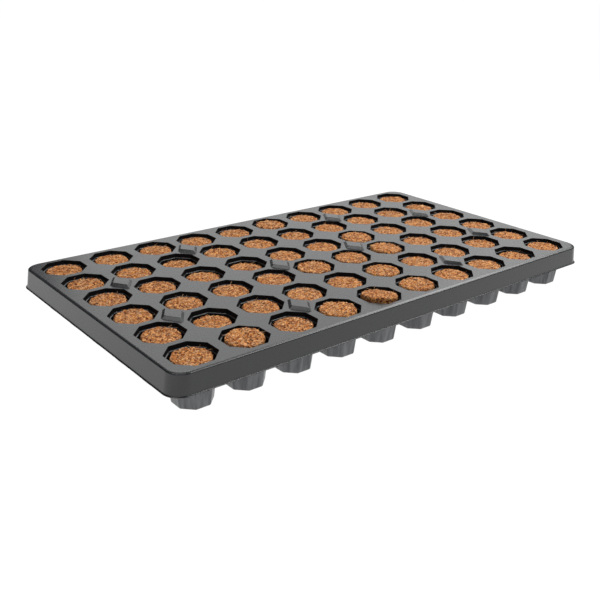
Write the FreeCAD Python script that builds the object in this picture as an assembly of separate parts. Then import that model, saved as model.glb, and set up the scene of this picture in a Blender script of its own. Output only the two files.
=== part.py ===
import FreeCAD, Part
import math
import os

# Nursery plug tray: one thermoformed plastic sheet with a grid of tapered octagonal cells, each holding a
# round coir plug. Millimetres, +Z up. The origin lies on the floor under the middle of the tray. +X runs
# along the tray's long side and +Y along its short side. A row is the six cells across the short side.
# The sheet is written as tiles, collars, flat wall panels and floors that meet face to face.

# Cell grid
ROWS = 10
CELLS_PER_ROW = 6
PITCH_X = 51.0
PITCH_Y = 47.0

# Sheet and heights
SHEET = 1.0
DECK_Z = 42.0  # top face of the deck, above the flat cell floors the tray stands on

# Cell, all halves measured across flats on the inside of the sheet
MOUTH_HALF = 20.6
COLLAR_DEPTH = 4.0
COLLAR_HALF = 20.2  # foot of the collar
LEDGE = 1.1  # width of the ledge under the collar
FLOOR_HALF = 14.5
DRAIN_RADIUS = 5.0

# Rim: the deck turns down over a rounded edge into a flared skirt with an outward lip
DECK_HALF_X = 260.5  # to the outside of the rounded edge
DECK_HALF_Y = 144.8
DECK_CORNER = 18.0
EDGE_RADIUS = 1.5
BORDER_DEPTH = 2.5  # from the deck's top face to where the skirt starts
SKIRT_HEIGHT = 19.7
SKIRT_FLARE_X = 2.4
SKIRT_FLARE_Y = 0.5
LIP_OUT = 1.1
GRID_CORNER = 12.0  # corners of the four end tiles, where they meet the deck border

# Raised rhombic lugs that stop stacked trays from jamming together
LUG_HALF_X = 11.2
LUG_HALF_Y = 16.8
LUG_HEIGHT = 2.6
LUG_DRAFT = 3.0
# Each lug stands where four cells meet: after this row and after this cell of the row
LUG_PLACES = [
    (1, 2), (1, 4), (3, 1), (3, 5), (4, 3),
    (6, 3), (7, 1), (7, 5), (9, 2), (9, 4),
]

# Coir plug
PLUG_TOP_RADIUS = 17.4
PLUG_FOOT_RADIUS = 13.6
PLUG_HEIGHT = 37.7
PLUG_CLEARANCE = 0.3  # between a seated plug and the cell floor
# Plugs that are not pushed fully home: (row, cell) and how far each stands up
PROUD_PLUGS = {
    (2, 1): 2.5,
    (4, 1): 2.0,
    (5, 1): 4.0,
    (5, 3): 2.5,
    (6, 1): 2.5,
    (6, 2): 2.0,
    (6, 3): 2.0,
    (6, 6): 2.0,
    (7, 3): 3.0,
    (7, 4): 2.5,
}

BLOCK_HALF_X = ROWS * PITCH_X / 2
BLOCK_HALF_Y = CELLS_PER_ROW * PITCH_Y / 2
DECK_UNDERSIDE_Z = DECK_Z - SHEET
LEDGE_Z = DECK_Z - COLLAR_DEPTH
SKIRT_TOP_Z = DECK_Z - BORDER_DEPTH
LIP_Z = DECK_Z - SKIRT_HEIGHT
LEDGE_HALF = COLLAR_HALF - LEDGE
WALL_TOP_Z = LEDGE_Z - SHEET
WALL_SLOPE = (LEDGE_HALF - FLOOR_HALF) / WALL_TOP_Z
OVERSHOOT = 1.0  # how far a cutting solid runs past the face it opens
NEAR = 0.01  # heights closer than this are the same


def cell_centre(row, cell):
    """Plan position of a cell; row 1 is at the -X end and cell 1 at the -Y side."""
    x = (row - (ROWS + 1) / 2) * PITCH_X
    y = (cell - (CELLS_PER_ROW + 1) / 2) * PITCH_Y
    return x, y


def octagon(half, x, y, z):
    """Corners of a regular octagon with flats parallel to X and Y, half wide from centre to flat."""
    corner_radius = half / math.cos(math.pi / 8)
    angles = [math.pi / 8 + k * math.pi / 4 for k in range(8)]
    return [
        FreeCAD.Vector(x + corner_radius * math.cos(a), y + corner_radius * math.sin(a), z)
        for a in angles
    ]


def rhombus(half_x, half_y, x, y, z):
    """Corners of a rhombus with its diagonals along X and Y."""
    return [
        FreeCAD.Vector(x + half_x, y, z),
        FreeCAD.Vector(x, y + half_y, z),
        FreeCAD.Vector(x - half_x, y, z),
        FreeCAD.Vector(x, y - half_y, z),
    ]


def flat_face(points):
    return Part.Face(Part.makePolygon(points + points[:1]))


def flat_sided(low, high):
    """Solid with flat faces between two level outlines of equal corner count."""
    count = len(low)
    faces = [flat_face(low[::-1]), flat_face(high)]
    for k in range(count):
        following = (k + 1) % count
        faces.append(flat_face([low[k], low[following], high[following], high[k]]))
    return Part.makeSolid(Part.makeShell(faces))


def octagonal_stack(levels, x, y):
    """Solid of octagonal stages; levels are (z, half) pairs going up, equal z where the width steps."""
    stages = []
    for (z_low, half_low), (z_high, half_high) in zip(levels, levels[1:]):
        if z_high > z_low:
            stages.append(flat_sided(octagon(half_low, x, y, z_low), octagon(half_high, x, y, z_high)))
    return stages[0].multiFuse(stages[1:]) if len(stages) > 1 else stages[0]


def wall_panels(row, number):
    """The cell's tapered wall, from floor to ledge: eight flat panels mitred at the corners."""
    x, y = cell_centre(row, number)
    rings = []
    for z in (SHEET, WALL_TOP_Z):
        inner = octagon(FLOOR_HALF + WALL_SLOPE * (z - SHEET), x, y, z)
        outer = octagon(FLOOR_HALF + SHEET + WALL_SLOPE * z, x, y, z)
        rings.append((inner, outer))
    panels = []
    for k in range(8):
        following = (k + 1) % 8
        low, high = (
            [inner[k], outer[k], outer[following], inner[following]] for inner, outer in rings
        )
        panels.append(flat_sided(low, high))
    return panels


def cell(row, number):
    """The solids of one cell: its square tile of the deck, collar with ledge, wall and drained floor."""
    x, y = cell_centre(row, number)
    collar_outside = [(WALL_TOP_Z, COLLAR_HALF + SHEET), (DECK_Z, MOUTH_HALF + SHEET)]
    collar_inside = [
        (WALL_TOP_Z, LEDGE_HALF),
        (LEDGE_Z, LEDGE_HALF),
        (LEDGE_Z, COLLAR_HALF),
        (DECK_Z, MOUTH_HALF),
    ]
    collar_block = octagonal_stack(collar_outside, x, y)
    collar = collar_block.cut(octagonal_stack(collar_inside, x, y))
    corner = FreeCAD.Vector(x - PITCH_X / 2, y - PITCH_Y / 2, DECK_UNDERSIDE_Z)
    square = Part.makeBox(PITCH_X, PITCH_Y, SHEET, corner)
    if row in (1, ROWS) and number in (1, CELLS_PER_ROW):
        square = square.common(grid_block(DECK_UNDERSIDE_Z, SHEET))
    tile = square.cut(collar_block)
    floor_outside = [(0, FLOOR_HALF + SHEET), (SHEET, FLOOR_HALF + SHEET + WALL_SLOPE * SHEET)]
    drain = Part.makeCylinder(DRAIN_RADIUS, SHEET + 2 * OVERSHOOT, FreeCAD.Vector(x, y, -OVERSHOOT))
    floor = octagonal_stack(floor_outside, x, y).cut(drain)
    return [tile, collar, *wall_panels(row, number), floor]


def rounded_rectangle(half_x, half_y, radius, z):
    """Closed wire round a rectangle with arc corners."""
    edges = []
    for quarter in range(4):
        angle = quarter * math.pi / 2
        sign_x = 1 if quarter in (0, 3) else -1
        sign_y = 1 if quarter in (0, 1) else -1
        centre = FreeCAD.Vector(sign_x * (half_x - radius), sign_y * (half_y - radius), z)
        on_arc = [
            centre + FreeCAD.Vector(radius * math.cos(a), radius * math.sin(a), 0)
            for a in (angle, angle + math.pi / 4, angle + math.pi / 2)
        ]
        edges.append(Part.Arc(*on_arc).toShape())
    sides = []
    for quarter in range(4):
        start = edges[quarter].Vertexes[-1].Point
        end = edges[(quarter + 1) % 4].Vertexes[0].Point
        sides.append(Part.LineSegment(start, end).toShape())
    return Part.Wire([edge for pair in zip(edges, sides) for edge in pair])


def grid_block(z, height):
    """Upright block with the outline of all the cells' tiles together."""
    outline = rounded_rectangle(BLOCK_HALF_X, BLOCK_HALF_Y, GRID_CORNER, z)
    return Part.Face(outline).extrude(FreeCAD.Vector(0, 0, height))


def round_cornered(low, high):
    """Solid between two (half_x, half_y, corner radius, z) outlines."""
    return Part.makeLoft([rounded_rectangle(*low), rounded_rectangle(*high)], True, True)


def inset(outline):
    """An outline drawn in by the thickness of the sheet."""
    return tuple(size - SHEET for size in outline)


def round_topped(outline, top_z, radius):
    """Upright block from the top of the skirt to top_z, its top edge rounded."""
    base = Part.Face(rounded_rectangle(*outline, SKIRT_TOP_Z))
    block = base.extrude(FreeCAD.Vector(0, 0, top_z - SKIRT_TOP_Z))
    top_edges = [edge for edge in block.Edges if abs(edge.BoundBox.ZMin - top_z) < NEAR]
    return block.makeFillet(radius, top_edges)


def deck_border():
    """Ring of deck round the grid of cells, turned down over its rounded edge."""
    deck = (DECK_HALF_X, DECK_HALF_Y, DECK_CORNER)
    outside = round_topped(deck, DECK_Z, EDGE_RADIUS)
    inside = round_topped(inset(deck), DECK_UNDERSIDE_Z, EDGE_RADIUS - SHEET)
    grid = grid_block(DECK_UNDERSIDE_Z - OVERSHOOT, SHEET + 2 * OVERSHOOT)
    return outside.cut(inside.fuse(grid))


def skirt():
    """Flared skirt that hangs from the deck border, with the lip turned out round its foot."""
    top = (DECK_HALF_X, DECK_HALF_Y, DECK_CORNER)
    foot = (top[0] + SKIRT_FLARE_X, top[1] + SKIRT_FLARE_Y, top[2] + SKIRT_FLARE_Y)
    lip = tuple(size + LIP_OUT for size in foot)
    outside = round_cornered((*foot, LIP_Z), (*top, SKIRT_TOP_Z)).fuse(
        round_cornered((*lip, LIP_Z), (*lip, LIP_Z + SHEET))
    )
    return outside.cut(round_cornered((*inset(foot), LIP_Z), (*inset(top), SKIRT_TOP_Z)))


def runs_and_corners(ring):
    """A ring round the tray in eight solids: its four straight runs and its four corners."""
    straight_x = DECK_HALF_X - DECK_CORNER
    straight_y = DECK_HALF_Y - DECK_CORNER
    edges_x = (-2 * DECK_HALF_X, -straight_x, straight_x, 2 * DECK_HALF_X)
    edges_y = (-2 * DECK_HALF_Y, -straight_y, straight_y, 2 * DECK_HALF_Y)
    solids = []
    for x_low, x_high in zip(edges_x, edges_x[1:]):
        for y_low, y_high in zip(edges_y, edges_y[1:]):
            corner = FreeCAD.Vector(x_low, y_low, 0)
            window = Part.makeBox(x_high - x_low, y_high - y_low, DECK_Z + OVERSHOOT, corner)
            solids += ring.common(window).removeSplitter().Solids
    return solids


def lug(after_row, after_cell):
    """One raised lug, standing where four cells meet."""
    x0, y0 = cell_centre(after_row, after_cell)
    x, y = x0 + PITCH_X / 2, y0 + PITCH_Y / 2
    base = rhombus(LUG_HALF_X, LUG_HALF_Y, x, y, DECK_Z)
    top_scale = 1 - LUG_DRAFT / LUG_HALF_X
    top = rhombus(LUG_HALF_X * top_scale, LUG_HALF_Y * top_scale, x, y, DECK_Z + LUG_HEIGHT)
    return flat_sided(base, top)


def plug(row, number):
    """One tapered coir plug standing in its cell."""
    x, y = cell_centre(row, number)
    foot_z = SHEET + PLUG_CLEARANCE + PROUD_PLUGS.get((row, number), 0.0)
    return Part.makeCone(PLUG_FOOT_RADIUS, PLUG_TOP_RADIUS, PLUG_HEIGHT, FreeCAD.Vector(x, y, foot_z))


def save(name, solids):
    """Write one node: a single solid, or a group of separate solids of one kind."""
    shape = solids[0] if len(solids) == 1 else Part.makeCompound(solids)
    shape.exportStep(f"parts/{name}.step")


os.makedirs("parts", exist_ok=True)
row_numbers = range(1, ROWS + 1)
cell_numbers = range(1, CELLS_PER_ROW + 1)
save("deck_border", runs_and_corners(deck_border()))
save("rim_skirt", runs_and_corners(skirt()))
save("denesting_lugs", [lug(*place) for place in LUG_PLACES])
for row in row_numbers:
    save(f"cell_row_{row:02d}", [solid for number in cell_numbers for solid in cell(row, number)])
    save(f"plug_row_{row:02d}", [plug(row, number) for number in cell_numbers])
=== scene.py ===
import math
import random

import bmesh
import bpy
from mathutils import Euler, Matrix, Vector


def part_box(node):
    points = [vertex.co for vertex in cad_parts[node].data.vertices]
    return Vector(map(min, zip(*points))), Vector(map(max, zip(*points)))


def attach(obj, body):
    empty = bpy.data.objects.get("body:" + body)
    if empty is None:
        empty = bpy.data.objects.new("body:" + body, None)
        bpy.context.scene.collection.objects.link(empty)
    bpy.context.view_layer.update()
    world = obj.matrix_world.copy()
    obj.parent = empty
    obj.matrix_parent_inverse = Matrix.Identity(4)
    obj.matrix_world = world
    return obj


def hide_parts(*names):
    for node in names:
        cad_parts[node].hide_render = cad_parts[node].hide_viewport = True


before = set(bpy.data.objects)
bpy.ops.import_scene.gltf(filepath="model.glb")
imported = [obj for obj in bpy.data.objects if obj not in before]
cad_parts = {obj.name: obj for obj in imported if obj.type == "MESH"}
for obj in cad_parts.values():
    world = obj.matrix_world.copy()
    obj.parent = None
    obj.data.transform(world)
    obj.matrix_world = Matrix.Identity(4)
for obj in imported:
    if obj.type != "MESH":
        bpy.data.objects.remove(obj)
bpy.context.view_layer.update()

# ---------------------------------------------------------------------------------------------------------
# Camera
# Stands off the tray's front left corner and a little above it, so that both near rims, the outside of the
# front cups and every plug's top show.

bpy.ops.object.select_all(action="DESELECT")
bpy.ops.object.camera_add(
    location=(-0.5206, -0.5997, 0.3209),
    rotation=(math.radians(67.386), math.radians(-1.343), math.radians(-39.106)),
)
camera = bpy.context.object
camera.data.sensor_width = 36.0
camera.data.lens = 47.87
bpy.context.scene.camera = camera
bpy.context.scene.view_settings.view_transform = "Standard"


# ---------------------------------------------------------------------------------------------------------
# Studio
# A glowing white table under dim, even light. Soft lamps above the right light the plugs and draw the
# highlights along the formed edges, fainter ones in front and overhead fill the slopes, and a wide soft
# wall of light behind is what the deck mirrors.

def deselect():
    """Leave nothing selected, so that the next operator acts on its own piece alone."""
    bpy.ops.object.select_all(action="DESELECT")


class Wire:
    """A socket of a material. Arithmetic on it adds Math nodes, and node() adds any other node."""

    def __init__(self, tree, socket=None):
        self.tree = tree
        self.socket = socket

    def feed(self, target, value):
        """Link or set one input socket."""
        if isinstance(value, Wire):
            self.tree.links.new(value.socket, target)
        else:
            target.default_value = value

    def node(self, kind, settings=None, inputs=None, output=0):
        """Add a node, apply its settings, feed its sockets, and return one of its outputs."""
        made = self.tree.nodes.new(kind)
        for name, value in (settings or {}).items():
            if name == "stops":
                ramp = made.color_ramp.elements
                while len(ramp) < len(value):
                    ramp.new(0.5)
                for stop, (place, colour) in zip(ramp, value):
                    stop.position = place
                    stop.color = (*colour, 1)
            else:
                setattr(made, name, value)
        for name, value in (inputs or {}).items():
            self.feed(made.inputs[name], value)
        return Wire(self.tree, made.outputs[output])

    def maths(self, operation, first, second=0.0):
        return self.node("ShaderNodeMath", {"operation": operation}, {0: first, 1: second})

    def __add__(self, other):
        return self.maths("ADD", self, other)

    def __radd__(self, other):
        return self.maths("ADD", other, self)

    def __sub__(self, other):
        return self.maths("SUBTRACT", self, other)

    def __rsub__(self, other):
        return self.maths("SUBTRACT", other, self)

    def __mul__(self, other):
        return self.maths("MULTIPLY", self, other)

    def __rmul__(self, other):
        return self.maths("MULTIPLY", other, self)

    def noise(self, where, scale, detail=3.0, roughness=0.5, distortion=0.0):
        """Noise from 0 to 1 at this many features to the metre."""
        return self.node(
            "ShaderNodeTexNoise",
            {"noise_dimensions": "3D"},
            {
                "Vector": where,
                "Scale": scale,
                "Detail": detail,
                "Roughness": roughness,
                "Distortion": distortion,
            },
        )

    def between(self, low, high):
        """0 below low, 1 above high, and a smooth rise between them."""
        return self.node(
            "ShaderNodeMapRange",
            {"interpolation_type": "SMOOTHSTEP"},
            {"Value": self, "From Min": low, "From Max": high},
        )

    def tint(self, dark, light):
        """Colour that runs from dark to light as the value runs from 0 to 1."""
        return self.node(
            "ShaderNodeMix", {"data_type": "RGBA"}, {0: self, 6: (*dark, 1), 7: (*light, 1)}, output=2
        )

    def over(self, under, colour):
        """Colour laid over another where the value is 1."""
        top = colour if isinstance(colour, Wire) else (*colour, 1)
        return self.node("ShaderNodeMix", {"data_type": "RGBA"}, {0: self, 6: under, 7: top}, output=2)


def new_material(name):
    """A material with its principled shader, the object's coordinates, and a maker of nodes."""
    material = bpy.data.materials.get(name) or bpy.data.materials.new(name)
    material.use_nodes = True
    tree = material.node_tree
    maker = Wire(tree)
    where = maker.node("ShaderNodeTexCoord", output="Object")
    return material, tree.nodes["Principled BSDF"], maker, where


deselect()
bpy.ops.mesh.primitive_plane_add(size=80.0, location=(0, 0, 0))
floor = bpy.context.object
floor.name = "floor"
floor_paint, shader, maker, where = new_material("floor_paint")
# The table's glow is painted light, 1.3 times as strong towards the left of the tray
along = maker.node("ShaderNodeSeparateXYZ", inputs={"Vector": where}, output="X")
left_side = along.between(-0.25, -0.60)
maker.feed(shader.inputs["Emission Color"], left_side.tint((1.0, 1.0, 1.0), (1.3, 1.3, 1.3)))
shader.inputs["Base Color"].default_value = (0.04, 0.04, 0.04, 1)
shader.inputs["Roughness"].default_value = 0.9
shader.inputs["Specular IOR Level"].default_value = 0.0
shader.inputs["Emission Strength"].default_value = 1.0
floor.data.materials.append(floor_paint)

world = bpy.data.worlds.new("dim_room")
world.use_nodes = True
world.node_tree.nodes["Background"].inputs["Color"].default_value = (0.95, 0.97, 1.0, 1)
world.node_tree.nodes["Background"].inputs["Strength"].default_value = 0.12
bpy.context.scene.world = world


def soft_lamp(name, place, target, width, height, power):
    """A rectangular area lamp at place that shines at target."""
    deselect()
    bpy.ops.object.light_add(type="AREA", location=place)
    lamp = bpy.context.object
    lamp.name = name
    lamp.data.shape = "RECTANGLE"
    lamp.data.size = width
    lamp.data.size_y = height
    lamp.data.energy = power
    lamp.visible_camera = False
    lamp.rotation_euler = (Vector(target) - Vector(place)).to_track_quat("-Z", "Y").to_euler()
    return lamp


soft_lamp("key_lamp", (1.05, -0.78, 1.30), (1.05, -0.78, 0), 1.6, 0.7, 30)
soft_lamp("side_lamp", (1.30, 0.36, 1.26), (0, 0, 0.04), 1.1, 0.9, 12)
soft_lamp("back_lamp", (0.50, 1.15, 1.35), (0, 0, 0.04), 0.6, 0.4, 2.2)
soft_lamp("fill_lamp", (-1.00, -1.10, 0.90), (0, 0, 0.04), 1.4, 0.8, 4)
soft_lamp("overhead_lamp", (-0.62, 0.05, 1.35), (-0.62, 0.05, 0), 1.3, 0.3, 5)
soft_lamp("back_wall_lamp", (1.10, 1.25, 0.86), (0, 0, 0.04), 1.8, 1.3, 8.8)


# ---------------------------------------------------------------------------------------------------------
# Tray sheet
# One sheet of black polystyrene, 1 mm thick, drawn down by vacuum over a mould: the deck, sixty tapered
# octagonal cells with a collar, a ledge and a drain hole, ten rhombic denesting lugs, and a rim that turns
# down over a rounded edge into a flared skirt with a lip.

cell_low, cell_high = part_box("cell_row_01")
rim_low, rim_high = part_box("rim_skirt")
lug_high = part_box("denesting_lugs")[1]
ROWS, CELLS = 10, 6
pitch_x = cell_high.x - cell_low.x
pitch_y = (cell_high.y - cell_low.y) / CELLS
deck_z = cell_high.z
near = 1e-5
sheet = 0.0010
mouth_half = 0.0206
collar_half = 0.0202
ledge_half = 0.0191
floor_half = 0.0152
collar_depth = 0.0040
corner_round = 0.0006
floor_round = 0.0010
shoulder = 0.0008
rim_corner = 0.0180
brow_radius, brow_turn = 0.0060, 20
edge_radius = 0.0015
lip_fillet, lip_curl = 0.0003, 0.0008
skirt_flare_x, skirt_flare_y = 0.0024, 0.0005
brow_sine = math.sin(math.radians(brow_turn))
edge_out = brow_radius * brow_sine + edge_radius * (1 - brow_sine)
deck_half_x = rim_high.x - lip_fillet - lip_curl - skirt_flare_x - edge_out
deck_half_y = rim_high.y - lip_fillet - lip_curl - skirt_flare_y - edge_out
deck_corner = rim_corner - edge_out
lug_half_x, lug_half_y = 0.0117, 0.0173
lug_draft = 0.0030
lug_corner_round, lug_top_round = 0.0007, 0.0005
lug_height = lug_high.z - deck_z
lug_places = [(1, 2), (1, 4), (3, 1), (3, 5), (4, 3), (6, 3), (7, 1), (7, 5), (9, 2), (9, 4)]


def cell_centre(row, cell):
    """Plan position of a cell; row 1 is at the left end and cell 1 at the front."""
    return (row - (ROWS + 1) / 2) * pitch_x, (cell - (CELLS + 1) / 2) * pitch_y


def pick(piece, kind, test):
    """In edit mode, select just those of piece's vertices, edges or faces whose test is true."""
    bpy.context.tool_settings.mesh_select_mode = (kind == "verts", kind == "edges", kind == "faces")
    bpy.ops.mesh.select_all(action="DESELECT")
    live = bmesh.from_edit_mesh(piece.data)
    for element in getattr(live, kind):
        if test(element):
            element.select_set(True)
    live.select_flush_mode()
    bmesh.update_edit_mesh(piece.data)


def middle(element):
    """Mean place of an edge's or a face's corners."""
    return sum((corner.co for corner in element.verts), Vector()) / len(element.verts)


def upright(edge):
    """True for an edge that climbs rather than runs level."""
    run = edge.verts[1].co - edge.verts[0].co
    return abs(run.z) > 0.7 * run.length


def apply_modifier(piece, kind, **settings):
    """Add a modifier with these settings and apply it at once."""
    deselect()
    piece.select_set(True)
    bpy.context.view_layer.objects.active = piece
    modifier = piece.modifiers.new(kind.lower(), kind)
    for name, value in settings.items():
        setattr(modifier, name, value)
    bpy.ops.object.modifier_apply(modifier=modifier.name)


def repeat_on_grid(piece):
    """Repeat a piece that stands in the first cell over the whole grid of cells."""
    for count, step in ((ROWS, (pitch_x, 0, 0)), (CELLS, (0, pitch_y, 0))):
        apply_modifier(
            piece,
            "ARRAY",
            count=count,
            use_relative_offset=False,
            use_constant_offset=True,
            constant_offset_displace=step,
        )


def join(pieces, name):
    """Join pieces into the first of them."""
    deselect()
    for piece in pieces:
        piece.select_set(True)
    bpy.context.view_layer.objects.active = pieces[0]
    if len(pieces) > 1:
        bpy.ops.object.join()
    pieces[0].name = name
    return pieces[0]


# A block with the deck's outline is the start; its sides and bottom are thrown away later
block_bottom = -0.010
deselect()
bpy.ops.mesh.primitive_cube_add(
    size=1,
    location=(0, 0, (deck_z + block_bottom) / 2),
    scale=(2 * deck_half_x, 2 * deck_half_y, deck_z - block_bottom),
)
tray = bpy.context.object
bpy.ops.object.transform_apply(location=True, rotation=True, scale=True)
bpy.ops.object.mode_set(mode="EDIT")
pick(tray, "edges", upright)
bpy.ops.mesh.bevel(offset=deck_corner, segments=14, affect="EDGES")
bpy.ops.object.mode_set(mode="OBJECT")

# Ten low rhombic lugs with sloping sides and rounded corners, each where four cells meet
octagon_turn = math.radians(22.5)
circumradius = 1 / math.cos(octagon_turn)
sink = 0.001
lug_slope = lug_draft / lug_height
lugs = []
for row, cell in lug_places:
    x, y = cell_centre(row, cell)
    deselect()
    bpy.ops.mesh.primitive_cone_add(
        vertices=4,
        radius1=lug_half_x + lug_slope * sink,
        radius2=lug_half_x - lug_draft,
        depth=lug_height + sink,
        location=(x + pitch_x / 2, y + pitch_y / 2, deck_z + (lug_height - sink) / 2),
        scale=(1, lug_half_y / lug_half_x, 1),
    )
    bpy.ops.object.transform_apply(location=True, rotation=True, scale=True)
    lugs.append(bpy.context.object)
lugs = join(lugs, "lugs")
bpy.ops.object.mode_set(mode="EDIT")
pick(lugs, "edges", lambda edge: abs(edge.verts[0].co.z - edge.verts[1].co.z) > sink)
bpy.ops.mesh.bevel(offset=lug_corner_round, segments=3, affect="EDGES")
pick(lugs, "edges", lambda edge: min(corner.co.z for corner in edge.verts) > lug_high.z - near)
bpy.ops.mesh.bevel(offset=lug_top_round, segments=2, affect="EDGES")
bpy.ops.object.mode_set(mode="OBJECT")
apply_modifier(tray, "BOOLEAN", operation="UNION", solver="EXACT", object=lugs)
bpy.data.objects.remove(lugs)

# The space inside one cell: tapered well with rounded corners and floor, ledge, and collar
first_x, first_y = cell_centre(1, 1)
ledge_z = deck_z - collar_depth
overshoot = 0.004
deselect()
bpy.ops.mesh.primitive_cone_add(
    vertices=8,
    radius1=floor_half * circumradius,
    radius2=ledge_half * circumradius,
    depth=ledge_z - sheet,
    location=(first_x, first_y, (ledge_z + sheet) / 2),
    rotation=(0, 0, octagon_turn),
)
well = bpy.context.object
bpy.ops.object.transform_apply(location=True, rotation=True, scale=True)
bpy.ops.object.mode_set(mode="EDIT")
pick(well, "edges", upright)
bpy.ops.mesh.bevel(offset=corner_round, segments=3, affect="EDGES")
pick(well, "edges", lambda edge: middle(edge).z < sheet + near)
bpy.ops.mesh.bevel(offset=floor_round, segments=4, affect="EDGES")


def grow_from(z, factor):
    """Scale the selection in plan about the cell's axis."""
    bpy.ops.transform.resize(value=(factor, factor, 1), center_override=(first_x, first_y, z))


pick(well, "faces", lambda face: face.normal.z > 0.9 and middle(face).z > ledge_z - near)
bpy.ops.mesh.extrude_region_move()
grow_from(ledge_z, collar_half / ledge_half)
bpy.ops.mesh.extrude_region_move(TRANSFORM_OT_translate={"value": (0, 0, collar_depth + overshoot)})
mouth_slope = (mouth_half - collar_half) / collar_depth
well_axis = Vector((first_x, first_y))
grow_from(deck_z, (mouth_half + mouth_slope * overshoot) / collar_half)
pick(
    well,
    "edges",
    lambda edge: abs(middle(edge).z - ledge_z) < near
    and max((well_axis - corner.co.xy).length for corner in edge.verts) < ledge_half * circumradius + near,
)
bpy.ops.mesh.bevel(offset=shoulder, segments=3, affect="EDGES")
bpy.ops.object.mode_set(mode="OBJECT")
repeat_on_grid(well)
apply_modifier(tray, "BOOLEAN", operation="DIFFERENCE", solver="EXACT", object=well)
bpy.data.objects.remove(well)

# Only the deck and the wells stay; the rim is drawn out of the deck's edge
margin = 0.0005
well_reach_x = -first_x + mouth_half + margin
well_reach_y = -first_y + mouth_half + margin
bpy.context.view_layer.objects.active = tray
bpy.ops.object.mode_set(mode="EDIT")
pick(
    tray,
    "faces",
    lambda face: middle(face).z < 0
    or (face.normal.z < 0.1 and (abs(middle(face).x) > well_reach_x or abs(middle(face).y) > well_reach_y)),
)
bpy.ops.mesh.delete(type="FACE")
pick(tray, "edges", lambda edge: edge.is_boundary)


def draw_out(halves, out_x, out_y, down):
    """Extrude the sheet's open edge outwards and down; returns the edge's new half sizes."""
    bpy.ops.mesh.extrude_region_move(TRANSFORM_OT_translate={"value": (0, 0, -down)})
    grown = (halves[0] + out_x, halves[1] + out_y)
    bpy.ops.transform.resize(
        value=(grown[0] / halves[0], grown[1] / halves[1], 1), center_override=(0, 0, 0)
    )
    return grown


def turn_down(halves, radius, start, end, steps=4):
    """Draw the open edge round an arc, from one heading to another; 0 is level and 90 straight down."""
    turn = math.radians(end - start) / steps
    chord = 2 * radius * math.sin(abs(turn) / 2)
    for step in range(steps):
        heading = math.radians(start) + (step + 0.5) * turn
        out = chord * math.cos(heading)
        halves = draw_out(halves, out, out, chord * math.sin(heading))
    return halves


brow_cosine = math.cos(math.radians(brow_turn))
edge_down = brow_radius * (1 - brow_cosine) + edge_radius * brow_cosine
skirt_drop = deck_z - edge_down - lip_fillet - (rim_low.z + sheet)
halves = turn_down((deck_half_x, deck_half_y), brow_radius, 0, brow_turn, steps=2)
halves = turn_down(halves, edge_radius, brow_turn, 90)
halves = draw_out(halves, skirt_flare_x, skirt_flare_y, skirt_drop)
halves = turn_down(halves, lip_fillet, 90, 0)
halves = turn_down(halves, lip_curl, 0, 75, steps=3)
bpy.ops.mesh.select_all(action="SELECT")
bpy.ops.mesh.remove_doubles(threshold=0.1 * near)
bpy.ops.mesh.normals_make_consistent(inside=False)
bpy.ops.object.mode_set(mode="OBJECT")

# Every other formed edge is a small radius
formed_round = 0.00032
apply_modifier(
    tray,
    "BEVEL",
    width=formed_round,
    segments=2,
    limit_method="ANGLE",
    angle_limit=math.radians(33),
    use_clamp_overlap=True,
)

# The inside of the wells and collars takes the second material, a blacker, duller copy of the deck's:
# painted shade for the wells' shadowed insides.
# The sheet then gets its thickness below and outside the wells, where it takes the third.
for name in ("tray_plastic", "tray_plastic_well_shade", "tray_plastic_underside_lit"):
    tray.data.materials.append(bpy.data.materials.new(name))
mouth_band, ledge_band = 0.0004, 0.0003


def in_a_well(face):
    """True for a face on the inside of a cell: below the ledge's shoulder, or on the collar."""
    place = middle(face)
    over_a_cell = abs(place.x) < well_reach_x and abs(place.y) < well_reach_y
    below_the_deck = place.z < deck_z - mouth_band
    on_the_ledge = ledge_z - shoulder < place.z < ledge_z + ledge_band
    return over_a_cell and below_the_deck and not on_the_ledge


bpy.ops.object.mode_set(mode="EDIT")
pick(tray, "faces", in_a_well)
tray.active_material_index = 1
bpy.ops.object.material_slot_assign()
bpy.ops.object.mode_set(mode="OBJECT")
apply_modifier(
    tray, "SOLIDIFY", thickness=sheet, offset=-1, use_even_offset=True, material_offset=2
)

# A drain hole is punched through every cell floor
drain_radius = 0.005
deselect()
bpy.ops.mesh.primitive_cylinder_add(
    vertices=24, radius=drain_radius, depth=4 * sheet, location=(first_x, first_y, sheet)
)
punch = bpy.context.object
bpy.ops.object.transform_apply(location=True, rotation=True, scale=True)
repeat_on_grid(punch)
apply_modifier(tray, "BOOLEAN", operation="DIFFERENCE", solver="EXACT", object=punch)
bpy.data.objects.remove(punch)
tray.name = "tray_sheet"
tray.data.name = "tray_sheet"
deselect()
tray.select_set(True)
bpy.context.view_layer.objects.active = tray
bpy.ops.object.shade_smooth_by_angle(angle=math.radians(32))
apply_modifier(tray, "WEIGHTED_NORMAL", mode="FACE_AREA", keep_sharp=True)


# Black polystyrene with the satin of a formed sheet: a faint mould grain, slow waves, smears and dust
shader, maker, where = new_material("tray_plastic")[1:]
grain = maker.noise(where, 1500.0, detail=2.0)
peel = maker.noise(where, 330.0, detail=2.0)
waves = maker.noise(where, 14.0, detail=1.0)
smears = maker.noise(where, 45.0, detail=5.0, roughness=0.65, distortion=0.6)
facing = maker.node("ShaderNodeNewGeometry", output="Normal")
upward = maker.node("ShaderNodeSeparateXYZ", inputs={"Vector": facing}, output="Z").between(0.6, 1.0)
dust = maker.noise(where, 620.0, detail=4.0, roughness=0.7).between(0.60, 0.80) * upward
body = (grain * 0.4 + smears * 0.6).tint((0.006, 0.0065, 0.0075), (0.015, 0.016, 0.018))
maker.feed(shader.inputs["Base Color"], (dust * 0.15).over(body, (0.12, 0.105, 0.09)))
maker.feed(shader.inputs["Roughness"], 0.21 + smears * 0.12 + dust * 0.1)
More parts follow.
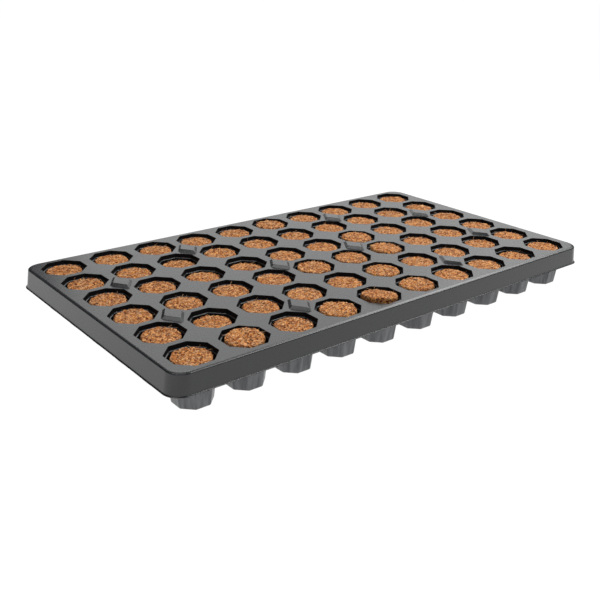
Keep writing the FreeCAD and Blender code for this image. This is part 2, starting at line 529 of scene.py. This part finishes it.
shader.inputs["Specular IOR Level"].default_value = 0.62
relief = grain * 0.1 + peel * 0.25 + waves * 5.0
bump = maker.node(
    "ShaderNodeBump", inputs={"Strength": 0.45, "Distance": 0.00012, "Height": relief}
)
maker.feed(shader.inputs["Normal"], bump)

# The same sheet inside the wells, made blacker and without the satin: painted shade, standing in for the
# shadow down in the wells
shader, maker, where = new_material("tray_plastic_well_shade")[1:]
shader.inputs["Specular IOR Level"].default_value = 0.10
streaks = maker.noise(where, 120.0, detail=3.0)
maker.feed(shader.inputs["Base Color"], streaks.tint((0.0025, 0.0025, 0.003), (0.005, 0.005, 0.006)))
maker.feed(shader.inputs["Roughness"], 0.45 + streaks * 0.2)

# The sheet's other side, seen on the outside of the cups: a greyer copy, painted light for the glow the
# white table throws up onto them, with drawn-out streaks
shader, maker, where = new_material("tray_plastic_underside_lit")[1:]
drawn = maker.node("ShaderNodeMapping", inputs={"Vector": where, "Scale": (1.0, 1.0, 0.08)})
streaks = maker.noise(drawn, 240.0, detail=3.0, roughness=0.6).between(0.30, 0.70)
maker.feed(shader.inputs["Base Color"], streaks.tint((0.045, 0.047, 0.051), (0.130, 0.134, 0.142)))
maker.feed(shader.inputs["Roughness"], 0.42 - streaks * 0.12)
shader.inputs["Specular IOR Level"].default_value = 0.62
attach(tray, "tray")
cell_rows = [f"cell_row_{row:02d}" for row in range(1, ROWS + 1)]
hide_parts("deck_border", "rim_skirt", "denesting_lugs", *cell_rows)


# ---------------------------------------------------------------------------------------------------------
# Coir plugs
# Round tapered plugs pressed from coconut fibre and pith, one in each cell. The tops are rough and a
# little uneven, crumbs and loose strands stand out of them, and a few plugs aren't pushed fully home.

plug_low, plug_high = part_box("plug_row_01")
plug_top_radius = (plug_high.x - plug_low.x) / 2
plug_foot_radius = plug_top_radius - 0.0042
plug_skin = 0.0004
plug_foot_z = plug_low.z
foot_gap = 0.0002
plug_height = 0.0377
plug_rim_round = 0.0016
# How far the plugs that are not pushed fully home stand up, and how much some others fall short
proud_plugs = {
    (2, 1): 0.0025,
    (4, 1): 0.0020,
    (5, 1): 0.0040,
    (5, 3): 0.0025,
    (6, 1): 0.0025,
    (6, 2): 0.0020,
    (6, 3): 0.0020,
    (6, 6): 0.0020,
    (7, 3): 0.0030,
    (7, 4): 0.0025,
}
short_plugs = {
    (2, 2): 0.0020,
    (3, 4): 0.0016,
    (3, 5): 0.0028,
    (4, 4): 0.0028,
    (9, 1): 0.0016,
}
# Tops that slope: the rise along X and along Y for each unit of length
sloping_tops = {(5, 1): (-0.10, -0.11), (2, 1): (0.04, 0.03), (1, 3): (0.03, 0.05), (7, 3): (-0.05, 0.02)}
shuffle = random.Random(7)

# One plug: tapered, its rim rounded, then an even mesh fine enough for crumbs. The mesh is made at half
# height, so the long sides, which the cell hides, get coarser faces than the top.
side_squash = 0.5
crumb_size = 0.00072
foot_share = 0.12
deselect()
bpy.ops.mesh.primitive_cylinder_add(
    vertices=56, radius=plug_top_radius - plug_skin, depth=plug_height, location=(0, 0, plug_height / 2)
)
blank_plug = bpy.context.object
bpy.ops.object.transform_apply(location=True, rotation=True, scale=True)
bpy.ops.object.mode_set(mode="EDIT")
pick(blank_plug, "verts", lambda corner: corner.co.z < near)
taper = plug_foot_radius / plug_top_radius
bpy.ops.transform.resize(value=(taper, taper, 1), center_override=(0, 0, 0))
pick(blank_plug, "edges", lambda edge: not upright(edge))
bpy.ops.mesh.bevel(offset=plug_rim_round, segments=3, affect="EDGES")
bpy.ops.mesh.select_all(action="SELECT")
bpy.ops.transform.resize(value=(1, 1, side_squash), center_override=(0, 0, 0))
bpy.ops.object.mode_set(mode="OBJECT")
apply_modifier(blank_plug, "REMESH", mode="VOXEL", voxel_size=crumb_size)
bpy.ops.object.mode_set(mode="EDIT")
pick(blank_plug, "verts", lambda corner: corner.co.z > foot_share * side_squash * plug_height)
bpy.ops.object.vertex_group_add()
blank_plug.vertex_groups.active.name = "above_foot"
bpy.ops.object.vertex_group_assign()
bpy.ops.mesh.select_all(action="SELECT")
bpy.ops.transform.resize(value=(1, 1, 1 / side_squash), center_override=(0, 0, 0))
bpy.ops.object.mode_set(mode="OBJECT")

# Two loose strands, one gently and one tightly curled
strand_radius, strand_length = 0.00011, 0.009
strands = []
for curl in (55, 150):
    deselect()
    bpy.ops.mesh.primitive_cylinder_add(
        vertices=3, radius=strand_radius, depth=strand_length, rotation=(0, math.radians(90), 0)
    )
    strand = bpy.context.object
    bpy.ops.object.transform_apply(location=True, rotation=True, scale=True)
    bpy.ops.object.mode_set(mode="EDIT")
    pick(strand, "edges", lambda edge: abs(edge.verts[0].co.x - edge.verts[1].co.x) > strand_length / 2)
    bpy.ops.mesh.subdivide(number_cuts=6)
    bpy.ops.object.mode_set(mode="OBJECT")
    apply_modifier(
        strand, "SIMPLE_DEFORM", deform_method="BEND", deform_axis="Z", angle=math.radians(curl)
    )
    strands.append(strand)


def copy_of(piece, placement):
    """A copy of piece with its own mesh, put in place by a matrix."""
    twin = piece.copy()
    twin.data = piece.data.copy()
    twin.data.transform(placement)
    bpy.context.collection.objects.link(twin)
    return twin


# Four different tufts of strands for the top of a plug
strands_in_a_tuft = 46
tufts = []
for number in range(4):
    laid = []
    for _ in range(strands_in_a_tuft):
        angle = shuffle.uniform(0, 2 * math.pi)
        reach = (plug_top_radius - 0.001) * math.sqrt(shuffle.uniform(0.02, 1.0))
        stray = shuffle.random() < 0.12
        pitch = shuffle.uniform(0.25, 1.0) if stray else shuffle.uniform(-0.16, 0.16)
        size = shuffle.uniform(0.7, 1.15) if stray else shuffle.uniform(0.3, 0.85)
        spin = Euler((shuffle.uniform(-0.7, 0.7), pitch, shuffle.uniform(0, 2 * math.pi)))
        place = Vector((reach * math.cos(angle), reach * math.sin(angle), shuffle.uniform(0.0001, 0.0006)))
        laid.append(
            copy_of(
                strands[shuffle.randrange(len(strands))],
                Matrix.Translation(place) @ spin.to_matrix().to_4x4() @ Matrix.Scale(size, 4),
            )
        )
    tufts.append(join(laid, f"tuft_{number}"))

# Rough relief, from lumps down to crumbs
lumps = bpy.data.textures.new("lumps", "CLOUDS")
lumps.noise_scale = 0.006
lumps.noise_depth = 2
crumbs = bpy.data.textures.new("crumbs", "VORONOI")
crumbs.noise_scale = 0.0024
crumbs.noise_intensity = 1.2
specks = bpy.data.textures.new("specks", "CLOUDS")
specks.noise_scale = 0.0014
specks.noise_type = "HARD_NOISE"
specks.noise_depth = 1

# Coconut coir: pith crumbs in orange browns that run to near black where the bump sits lowest, so the pits
# between them carry painted shade, and pale fibres running every way
coir, shader, maker, where = new_material("coir")
lump = maker.noise(where, 210.0, detail=4.0, roughness=0.6)
crumb = maker.noise(where, 560.0, detail=5.0, roughness=0.68, distortion=0.8)
base = crumb.node(
    "ShaderNodeValToRGB",
    {
        "stops": [
            (0.415, (0.035, 0.005, 0.001)),
            (0.475, (0.225, 0.050, 0.010)),
            (0.54, (0.610, 0.228, 0.054)),
            (0.65, (0.980, 0.560, 0.215)),
        ]
    },
    {"Fac": crumb * 0.75 + lump * 0.25},
)
fibres = None
for turn, squeeze in ((0.3, 1.0), (1.35, 0.8), (2.5, 1.2)):
    laid = maker.node(
        "ShaderNodeMapping",
        inputs={"Vector": where, "Rotation": (0.4, 0.2, turn), "Scale": (squeeze, 6.0, 6.0)},
    )
    streak = maker.noise(laid, 170.0, detail=1.0).between(0.60, 0.68)
    fibres = streak if fibres is None else maker.maths("MAXIMUM", fibres, streak)
# Painted shade: the hollows of the plug's rough mesh are darkened almost to black
pit_shade = maker.node("ShaderNodeNewGeometry", output="Pointiness").between(0.48, 0.40)
tone = (fibres * 0.6).over(base, (0.95, 0.58, 0.30))
maker.feed(shader.inputs["Base Color"], (pit_shade * 0.85).over(tone, (0.050, 0.010, 0.002)))
maker.feed(shader.inputs["Roughness"], 0.95 - fibres * 0.25)
shader.inputs["Specular IOR Level"].default_value = 0.25
relief = crumb + fibres * 0.5
bump = maker.node("ShaderNodeBump", inputs={"Strength": 1.0, "Distance": 0.0007, "Height": relief})
maker.feed(shader.inputs["Normal"], bump)

# Loose strands are paler and a little shiny
strand_coir, shader, maker, where = new_material("coir_strand")
shade = maker.noise(where, 120.0, detail=2.0).between(0.3, 0.7)
maker.feed(shader.inputs["Base Color"], shade.tint((0.42, 0.17, 0.055), (0.83, 0.52, 0.28)))
maker.feed(shader.inputs["Roughness"], 0.5 + shade * 0.2)
blank_plug.data.materials.append(coir)
for tuft in tufts:
    tuft.data.materials.append(strand_coir)

for row in range(1, ROWS + 1):
    bodies, tops = [], []
    for cell in range(1, CELLS + 1):
        x, y = cell_centre(row, cell)
        slope = sloping_tops.get((row, cell), (shuffle.uniform(-0.02, 0.02), shuffle.uniform(-0.02, 0.02)))
        lean = Matrix(((1, 0, 0, 0), (0, 1, 0, 0), (*slope, 1, 0), (0, 0, 0, 1)))
        spin = Matrix.Rotation(shuffle.uniform(0, 2 * math.pi), 4, "Z")
        squat = 1 - short_plugs.get((row, cell), 0.0) / plug_height
        foot = Vector((x, y, plug_foot_z + foot_gap + proud_plugs.get((row, cell), 0.0)))
        stand = Matrix.Translation(foot) @ lean @ Matrix.Diagonal((1, 1, squat, 1)) @ spin
        bodies.append(copy_of(blank_plug, stand))
        on_top = stand @ Matrix.Translation((0, 0, plug_height))
        tops.append(copy_of(tufts[shuffle.randrange(len(tufts))], on_top))
    plugs = join(bodies, f"coir_plugs_row_{row:02d}")
    for texture, strength in ((lumps, 0.0018), (crumbs, 0.0013), (specks, 0.0007)):
        apply_modifier(
            plugs,
            "DISPLACE",
            texture=texture,
            texture_coords="LOCAL",
            strength=strength,
            mid_level=0.5,
            vertex_group="above_foot",
        )
    plugs = join([plugs] + tops, plugs.name)
    bpy.ops.object.shade_smooth_by_angle(angle=math.radians(55))
    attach(plugs, f"plug_row_{row:02d}")
    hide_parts(f"plug_row_{row:02d}")
for spare in [blank_plug] + strands + tufts:
    bpy.data.objects.remove(spare)
